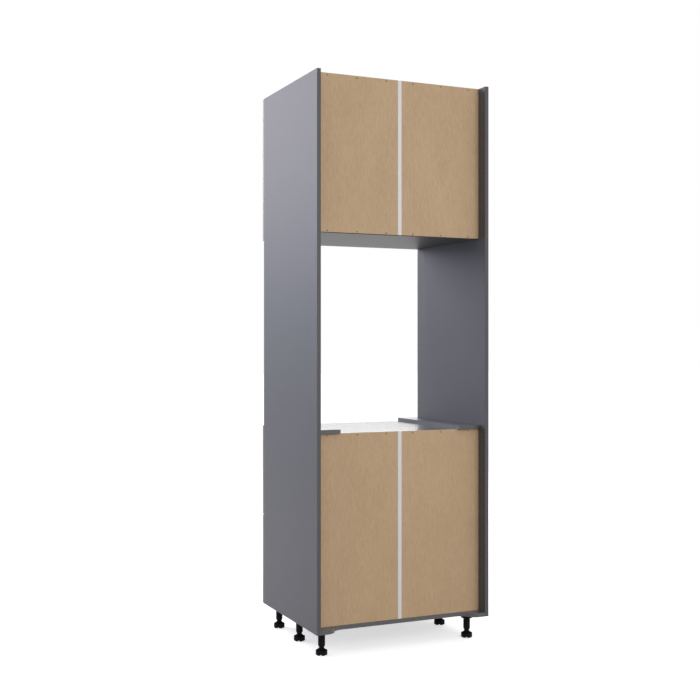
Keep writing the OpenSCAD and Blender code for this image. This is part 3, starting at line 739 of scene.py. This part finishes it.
@dataclass
class SubAssembly:
    """A group of pieces that belong together.

    A CAD node is shown by a copy of its solid, with eased arrises, that stands for it. Other pieces
    ride on the body that carries them.
    """

    arris: float = 0.4 * MM
    steps: int = 2
    made: list[bpy.types.Object] = field(default_factory=list, init=False)

    def finishes(self) -> dict[str, Palette]:
        """The finish of each CAD node of the group."""
        raise NotImplementedError

    def build(self) -> None:
        """Makes the copy of each node's solid; a group with more pieces adds to it."""
        for node in self.finishes():
            self.made.append(self.eased(node))

    def dress(self) -> None:
        """Gives each copy its finish and lets it stand for its node."""
        for piece, (node, finish) in zip(self.made, self.finishes().items()):
            piece.data.materials.clear()
            piece.data.materials.append(finish.material())
            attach(piece, body_of_node(node))
            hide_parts(node)
            LOG.info("%s stands for %s", piece.name, node)

    def eased(self, node: str) -> bpy.types.Object:
        """A copy of a node's solid whose sharp edges are rounded.

        Args:
            node: Name of the CAD node.

        Returns:
            The new object, at the origin.
        """
        mesh = bpy.data.meshes.new(f"{node}_eased")
        solid = bmesh.new()
        solid.from_mesh(frame["nodes"][node].data)
        bmesh.ops.remove_doubles(solid, verts=solid.verts, dist=MERGE)
        bmesh.ops.dissolve_limit(solid, angle_limit=FLAT, verts=solid.verts, edges=solid.edges)
        self.shaped(node, solid)
        solid.to_mesh(mesh)
        solid.free()
        mesh.shade_smooth()
        piece = bpy.data.objects.new(f"{node}_eased", mesh)
        bpy.context.scene.collection.objects.link(piece)
        bevel = piece.modifiers.new("arris", "BEVEL")
        bevel.width = self.arris
        bevel.segments = self.steps
        bevel.limit_method = "ANGLE"
        bevel.angle_limit = SHARP
        bevel.miter_outer = "MITER_ARC"
        bevel.use_clamp_overlap = True
        normals = piece.modifiers.new("flat_faces", "WEIGHTED_NORMAL")
        normals.mode = "FACE_AREA"
        normals.weight = 100        # the largest face at a corner sets its shading
        normals.keep_sharp = True
        flatten(piece)
        self.kept_in_box(node, piece.data)
        return piece

    @staticmethod
    def kept_in_box(node: str, mesh: bpy.types.Mesh) -> None:
        """Draws back what a rounded corner lifted past the box of its CAD node.

        Args:
            node: Name of the CAD node.
            mesh: The mesh that stands for it.
        """
        low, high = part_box(node)
        for vertex in mesh.vertices:
            for axis in range(3):
                vertex.co[axis] = min(max(vertex.co[axis], low[axis]), high[axis])

    def shaped(self, node: str, solid: bmesh.types.BMesh) -> None:
        """Changes the copy of a node's solid; a group whose pieces need it overrides it."""

    def add(self, piece: bpy.types.Object, body: str, finish: Palette) -> None:
        """Lets a piece that stands for no node ride on a body, in a finish it already wears.

        Args:
            piece: The piece.
            body: Name of the body that carries it.
            finish: Not used; the piece already wears its finish.
        """
        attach(piece, body)
        LOG.info("%s rides on %s", piece.name, body)

    def fasten(self, name: str, screw: Screw, points: Iterable[Point], facing: Facing, body: str,
               finish: Palette = Palette.ZINC) -> bpy.types.Object:
        """Adds one mesh of screws that ride on a body.

        Args:
            name: The mesh's name.
            screw: The screw that repeats.
            points: Where the undersides of the heads are.
            facing: Which way the heads point.
            body: The body that carries them.
            finish: The screws' finish.

        Returns:
            The mesh's object.
        """
        screws = screw.grown(name, points, facing, finish)
        self.add(screws, body, finish)
        return screws


# ---------- The unit ----------


@dataclass
class Carcass(SubAssembly):
    """The laminated boards: sides, top, bottom, shelves and the two rails that carry the oven."""

    arris: float = 0.35 * MM

    def finishes(self) -> dict[str, Palette]:
        """Laminate all over, glossier where the photograph shows a reflection.

        Returns:
            The finish by the name of the node.
        """
        satin = ("side_panel_left", "side_panel_right", "top_panel", "adjustable_shelf")
        glossy = ("bottom_panel", "oven_shelf", "oven_rail_left", "oven_rail_right")
        return {**dict.fromkeys(satin, Palette.LAMINATE),
                **dict.fromkeys(glossy, Palette.SHELF_LAMINATE),
                # the upper shelf wears the painted-shade copy of the laminate, which darkens the
                # reflection on its underside
                "upper_shelf": Palette.SHADED_UNDERSIDE_LAMINATE}


@dataclass
class Back(SubAssembly):
    """The hardboard halves, the strips that join them and the screws into the rear edges."""

    arris: float = 0.2 * MM
    boards: tuple[str, ...] = ("oven_shelf", "upper_shelf", "top_panel")
    first_x: float = 59.0 * MM
    pitch: float = 128.0 * MM
    screws_a_side: int = 3
    screw: Screw = Screw(head_r=3.5 * MM, head_h=1.5 * MM, shank_r=1.7 * MM, shank_len=18.0 * MM)

    def finishes(self) -> dict[str, Palette]:
        """Hardboard for the halves and white plastic for the strips.

        Returns:
            The finish by the name of the node.
        """
        halves = [f"back_{level}_{side}" for level in LEVELS for side in SIDES]
        strips = [f"back_joiner_{level}" for level in LEVELS]
        return {**dict.fromkeys(halves, Palette.HARDBOARD),
                **dict.fromkeys(strips, Palette.WHITE_PLASTIC)}

    def build(self) -> None:
        """Makes the halves and strips, and a row of screws along each board."""
        super().build()
        across = [side * (self.first_x + i * self.pitch)
                  for side in (-1, 1) for i in range(self.screws_a_side)]
        face_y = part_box("back_upper_left")[1][1]
        points = [(x, face_y, middle(board, "Z")) for board in self.boards for x in across]
        screws = self.fasten("back_screws", self.screw, points, Facing.REAR, "carcass",
                             Palette.SCREW)
        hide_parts("panel_screws")


@dataclass
class Connectors(SubAssembly):
    """What holds the boards together out of sight, and the pins of the adjustable shelf."""

    arris: float = 0.25 * MM
    rail_screw_inset: float = 60.0 * MM
    rail_screw_sink: float = 3.6 * MM
    screw: Screw = Screw(head_r=3.4 * MM, head_h=1.6 * MM, shank_r=1.7 * MM, shank_len=24.0 * MM)

    def finishes(self) -> dict[str, Palette]:
        """Zinc for the cams, bolts and pins, and beech for the dowels."""
        return {**dict.fromkeys(("cam_locks", "cam_bolts", "shelf_pins"), Palette.ZINC),
                "wood_dowels": Palette.BEECH}

    def build(self) -> None:
        """Makes the connectors, and the screws that hold the rails down."""
        super().build()
        (_, front, _), (_, rear, _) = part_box("oven_shelf")
        rows = (front + self.rail_screw_inset, rear - self.rail_screw_inset)
        points = []
        for rail in (f"oven_rail_{side}" for side in SIDES):
            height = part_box(rail)[1][2] - self.rail_screw_sink
            points += [(middle(rail, "X"), y, height) for y in rows]
        self.fasten("rail_screws", self.screw, points, Facing.UP, "carcass", Palette.SCREW)


@dataclass
class Legs(SubAssembly):
    """Six sockets with ribbed flanges, and six feet whose stems carry a thread."""

    arris: float = 0.3 * MM
    stem_r: float = 10.4 * MM
    thread_low: float = 28.5 * MM
    thread_high: float = 74.0 * MM
    thread_pitch: float = 3.0 * MM
    thread_wire: float = 0.55 * MM
    root_share: float = 1.3         # how deep the root lies, in wires
    shoulder: float = 0.5 * MM      # where the stem steps down to the root
    slack: float = 0.1 * MM         # what lies this close below the thread is turned down too
    turn_steps: int = 24
    wire_sides: int = 6

    @staticmethod
    def places() -> list[str]:
        """The names of the six places."""
        return [f"{row}_{side}" for row in ("front", "middle", "rear") for side in SIDES]

    def finishes(self) -> dict[str, Palette]:
        """Black plastic throughout."""
        names = [f"{part}_{place}" for part in ("leg_socket", "foot") for place in self.places()]
        return dict.fromkeys(names, Palette.BLACK_PLASTIC)

    def shaped(self, node: str, solid: bmesh.types.BMesh) -> None:
        """Turns a foot's stem down to the root of its thread.

        Args:
            node: Name of the CAD node.
            solid: The copy of its solid.
        """
        if not node.startswith("foot_"):
            return
        x, y = middle(node, "X"), middle(node, "Y")
        for height in (self.thread_low - self.shoulder, self.thread_low):
            whole = solid.verts[:] + solid.edges[:] + solid.faces[:]
            bmesh.ops.bisect_plane(solid, geom=whole, plane_co=(0, 0, height), plane_no=(0, 0, 1))
        root = self.stem_r - self.thread_wire * self.root_share
        for vertex in solid.verts:
            reach = math.hypot(vertex.co.x - x, vertex.co.y - y)
            if vertex.co.z > self.thread_low - self.slack and reach > root:
                vertex.co.x = x + (vertex.co.x - x) * root / reach
                vertex.co.y = y + (vertex.co.y - y) * root / reach

    def build(self) -> None:
        """Makes the sockets and feet, and a thread on each stem."""
        super().build()
        for place in self.places():
            self.add(self.thread(place), body_of_node(f"foot_{place}"), Palette.BLACK_PLASTIC)

    def thread(self, place: str) -> bpy.types.Object:
        """The thread of one foot's stem, as a wire wound round it.

        Args:
            place: Name of the foot's place.

        Returns:
            The thread's object.
        """
        name, foot = f"thread_{place}", f"foot_{place}"
        length = self.thread_high - self.thread_low
        recipe = Recipe(f"{name}_recipe", radius=self.stem_r - self.thread_wire, length=length,
                        wire=self.thread_wire, turns=length / self.thread_pitch)
        g, radius = recipe.g, recipe.given("radius")
        path = g.node("GeometryNodeCurveSpiral", {}, {
            "Resolution": self.turn_steps, "Rotations": recipe.given("turns"),
            "Start Radius": radius, "End Radius": radius, "Height": recipe.given("length")})
        section = g.node("GeometryNodeCurvePrimitiveCircle", {}, {
            "Resolution": self.wire_sides, "Radius": recipe.given("wire")})
        wire = g.node("GeometryNodeCurveToMesh", {}, {
            "Curve": path, "Profile Curve": section, "Fill Caps": True})
        recipe.on_points(wire, Palette.BLACK_PLASTIC.material())
        piece = recipe.grown(name, [(middle(foot, "X"), middle(foot, "Y"), self.thread_low)])
        piece.data.shade_smooth()
        return piece


@dataclass
class Fronts(SubAssembly):
    """Two doors and two drawer fronts."""

    arris: float = 0.3 * MM

    def finishes(self) -> dict[str, Palette]:
        """Wood grain on every front."""
        names = ("door_left", "door_right", "drawer_front_upper", "drawer_front_lower")
        return dict.fromkeys(names, Palette.FRONT)


@dataclass
class Hinges(SubAssembly):
    """Mounting plates, arms and cups of the cup hinges, with their screws."""

    arris: float = 0.25 * MM
    from_door_end: float = 100.0 * MM
    plate_screw_half: float = 16.0 * MM
    plate_screw_lift: float = 3.0 * MM
    cup_screw_half: float = 22.5 * MM
    cup_screw_lift: float = 1.7 * MM
    plate_screw: Screw = Screw(head_r=3.5 * MM, head_h=0.7 * MM, shank_r=1.5 * MM,
                               shank_len=2.0 * MM)
    cup_screw: Screw = Screw(head_r=2.7 * MM, head_h=0.5 * MM, shank_r=1.2 * MM,
                             shank_len=1.5 * MM, recess_w=0.5 * MM)

    def finishes(self) -> dict[str, Palette]:
        """Zinc throughout."""
        names = ("hinge_plates", "hinge_arms", "hinge_cups_left", "hinge_cups_right")
        return dict.fromkeys(names, Palette.ZINC)

    def build(self) -> None:
        """Makes the plates, arms and cups, and their screws."""
        super().build()
        (left_wall, _, _), (right_wall, _, _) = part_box("hinge_plates")
        plate_y, door_back = middle("hinge_plates", "Y"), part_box("door_left")[1][1]
        for side, facing, plate_x in (("left", Facing.RIGHT, left_wall + self.plate_screw_lift),
                                      ("right", Facing.LEFT, right_wall - self.plate_screw_lift)):
            points = [(plate_x, plate_y, z) for z in self.heights(self.plate_screw_half)]
            self.fasten(f"plate_screws_{side}", self.plate_screw, points, facing, "carcass")
            cup_x, cup_y = middle(f"hinge_cups_{side}", "X"), door_back + self.cup_screw_lift
            points = [(cup_x, cup_y, z) for z in self.heights(self.cup_screw_half)]
            self.fasten(f"cup_screws_{side}", self.cup_screw, points, Facing.REAR, f"door_{side}")

    def heights(self, half: float) -> list[float]:
        """The heights of a pair of screws about each hinge.

        Args:
            half: Half the distance of the two screws of a pair.

        Returns:
            The heights, from below.
        """
        (_, _, low), (_, _, high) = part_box("door_left")
        hinges = (low + self.from_door_end, high - self.from_door_end)
        return [z + end * half for z in hinges for end in (-1, 1)]


@dataclass
class Drawers(SubAssembly):
    """Steel-sided drawer boxes, their runners in three members, and the screws of both."""

    arris: float = 0.25 * MM
    runner_screw_y: tuple[float, ...] = (35.0 * MM, 67.0 * MM, 259.0 * MM, 451.0 * MM)
    runner_sheet: float = 1.2 * MM
    bracket_screw_in: float = 9.0 * MM
    bracket_screw_z: tuple[float, ...] = (50.0 * MM, 100.0 * MM, 150.0 * MM)
    bracket_t: float = 1.5 * MM
    runner_screw: Screw = Screw(head_r=3.4 * MM, head_h=1.0 * MM, shank_r=2.2 * MM,
                                shank_len=10.0 * MM)
    bracket_screw: Screw = Screw(head_r=3.2 * MM, head_h=1.2 * MM, shank_r=1.6 * MM,
                                 shank_len=12.0 * MM)

    def finishes(self) -> dict[str, Palette]:
        """Powder coat on the sides, laminate on bottom and back, zinc on the runners.

        Returns:
            The finish by the name of the node.
        """
        table: dict[str, Palette] = {}
        for level in LEVELS:
            table |= {f"drawer_side_{level}_{side}": Palette.DRAWER_STEEL for side in SIDES}
            table |= {f"drawer_{part}_{level}": Palette.LAMINATE for part in ("bottom", "back")}
            table |= {f"{part}_runners_{level}": Palette.ZINC
                      for part in ("cabinet", "middle", "drawer")}
        return table

    def build(self) -> None:
        """Makes the boxes and runners, and their screws."""
        super().build()
        for level in LEVELS:
            self.fasten_runners(level)
            self.fasten_brackets(level)

    def fasten_runners(self, level: str) -> None:
        """Adds the screws that hold a drawer's runners to the sides of the unit.

        Args:
            level: The upper or the lower drawer.
        """
        low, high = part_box(f"cabinet_runners_{level}")
        z = middle(f"cabinet_runners_{level}", "Z")
        for side, facing, web_x in (("left", Facing.RIGHT, low[0] + self.runner_sheet),
                                    ("right", Facing.LEFT, high[0] - self.runner_sheet)):
            points = [(web_x, low[1] + y, z) for y in self.runner_screw_y]
            name = f"runner_screws_{level}_{side}"
            self.fasten(name, self.runner_screw, points, facing, "carcass")

    def fasten_brackets(self, level: str) -> None:
        """Adds the screws that hold a drawer's sides to its front and back.

        Args:
            level: The upper or the lower drawer.
        """
        low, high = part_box(f"drawer_bottom_{level}")
        across = (low[0] + self.bracket_screw_in, high[0] - self.bracket_screw_in)
        points = [(x, y + self.bracket_t, low[2] + z)
                  for x in across for y in (low[1], high[1]) for z in self.bracket_screw_z]
        name = f"bracket_screws_{level}"
        self.fasten(name, self.bracket_screw, points, Facing.REAR, f"drawer_{level}")


@dataclass
class Handles(SubAssembly):
    """Bar handles on their posts."""

    arris: float = 0.3 * MM
    steps: int = 3

    def finishes(self) -> dict[str, Palette]:
        """Brushed steel throughout."""
        names = ("door_handle_left", "door_handle_right", "drawer_handle_upper",
                 "drawer_handle_lower")
        return dict.fromkeys(names, Palette.HANDLE)


# ---------- Studio ----------


@dataclass(frozen=True)
class PhotoCamera:
    """The camera that took the view from behind: level, past the unit's rear right corner."""

    place: Point = (2.027, 4.272, 1.2084)
    turn_deg: float = 155.68
    focal_mm: float = 57.52
    sensor_mm: float = 36.0
    shift_up: float = -0.0061

    def build(self) -> None:
        """Adds the camera and makes it the scene's own."""
        data = bpy.data.cameras.new("photo_camera")
        data.lens = self.focal_mm
        data.sensor_width = self.sensor_mm
        data.shift_y = self.shift_up
        camera = bpy.data.objects.new("photo_camera", data)
        camera.location = self.place
        camera.rotation_euler = (math.pi / 2, 0.0, math.radians(self.turn_deg))
        bpy.context.scene.collection.objects.link(camera)
        bpy.context.scene.camera = camera


@dataclass(frozen=True)
class Softbox:
    """A rectangular lamp that shines at a point."""

    name: str
    place: Point
    aim: Point
    size: tuple[float, float]
    watts: float
    colour: Colour = WHITE

    def build(self) -> None:
        """Adds the lamp."""
        data = bpy.data.lights.new(self.name, "AREA")
        data.shape = "RECTANGLE"
        data.size, data.size_y = self.size
        data.energy = self.watts
        data.color = self.colour
        lamp = bpy.data.objects.new(self.name, data)
        lamp.location = self.place
        beam = Vector(self.aim) - Vector(self.place)
        lamp.rotation_euler = beam.to_track_quat("-Z", "Y").to_euler()
        lamp.visible_camera = False
        bpy.context.scene.collection.objects.link(lamp)


@dataclass(frozen=True)
class Studio:
    """A pale floor, a white surround, soft lamps and the camera."""

    floor_half: float = 40.0
    ambient: float = 0.74
    floor_tone: float = 0.75
    floor_glow: float = 0.58
    floor_bounce: float = 0.08
    lamps: tuple[Softbox, ...] = (
        Softbox("side_softbox_high", place=(2.6, -3.6, 3.2), aim=(0.38, 0.1, 1.7),
                size=(2.0, 2.6), watts=104.0, colour=(1.0, 0.87, 0.88)),
        Softbox("side_softbox_low", place=(3.2, -3.6, 2.7), aim=(0.38, 0.1, 1.5),
                size=(1.8, 3.4), watts=106.0, colour=(0.48, 0.69, 1.0)),
        Softbox("rear_softbox", place=(-0.7, 4.8, 2.2), aim=(0.0, 0.3, 1.05),
                size=(3.0, 2.4), watts=86.0),
        Softbox("front_softbox", place=(-2.4, -4.4, 3.2), aim=(0.0, -0.3, 1.1),
                size=(3.0, 2.4), watts=90.0),
    )

    def build(self) -> None:
        """Builds the studio round the unit."""
        bpy.context.scene.view_settings.view_transform = "Standard"
        self.build_world()
        self.build_floor()
        for lamp in self.lamps:
            lamp.build()
        PhotoCamera().build()

    @staticmethod
    def seen(g: Graph) -> Sock:
        """1 for rays that show the surround: from the camera, a reflection or through glass."""
        camera, glossy, through = (
            g.node("ShaderNodeLightPath", output=f"Is {ray} Ray")
            for ray in ("Camera", "Glossy", "Transmission"))
        return (camera + glossy + through).clamped()

    def build_world(self) -> None:
        """A white surround that lights the unit softly."""
        world = bpy.data.worlds.new("surround")
        g = Graph.cleared(world)
        level = self.ambient + self.seen(g) * (1.0 - self.ambient)
        light = g.node("ShaderNodeBackground", {}, {"Color": WHITE, "Strength": level})
        g.node("ShaderNodeOutputWorld", {}, {"Surface": light})
        bpy.context.scene.world = world

    def build_floor(self) -> None:
        """A pale floor that keeps the unit's shadow."""
        mesh = bpy.data.meshes.new("floor")
        corners = [(x * self.floor_half, y * self.floor_half, 0.0)
                   for x, y in ((-1, -1), (1, -1), (1, 1), (-1, 1))]
        mesh.from_pydata(corners, [], [(0, 1, 2, 3)])
        floor = bpy.data.objects.new("floor", mesh)
        bpy.context.scene.collection.objects.link(floor)
        mesh.materials.append(self.floor_paint())

    def floor_paint(self) -> bpy.types.Material:
        """A paint that looks pale and throws little light back at the unit.

        Returns:
            The material.
        """
        made = bpy.data.materials.new("floor_paint")
        g = Graph.cleared(made)
        seen = self.seen(g)
        tone = self.floor_bounce + seen * (self.floor_tone - self.floor_bounce)
        shade = g.node("ShaderNodeCombineColor", {}, {"Red": tone, "Green": tone, "Blue": tone})
        paint = g.node("ShaderNodeBsdfDiffuse", {}, {"Color": shade})
        glow = g.node("ShaderNodeEmission", {}, {
            "Color": WHITE, "Strength": seen * self.floor_glow})
        both = g.node("ShaderNodeAddShader", {}, {0: paint, 1: glow})
        g.node("ShaderNodeOutputMaterial", {}, {"Surface": both})
        return made


def main() -> None:
    """Builds the studio and every part of the unit."""
    logging.basicConfig(level=logging.INFO, format="%(name)s: %(message)s")
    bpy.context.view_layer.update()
    Studio().build()
    for part in (Carcass(), Back(), Connectors(), Legs(), Fronts(), Hinges(), Drawers(), Handles()):
        part.build()
        part.dress()
        LOG.info("%s is done", type(part).__name__)


if __name__ == "__main__":
    main()
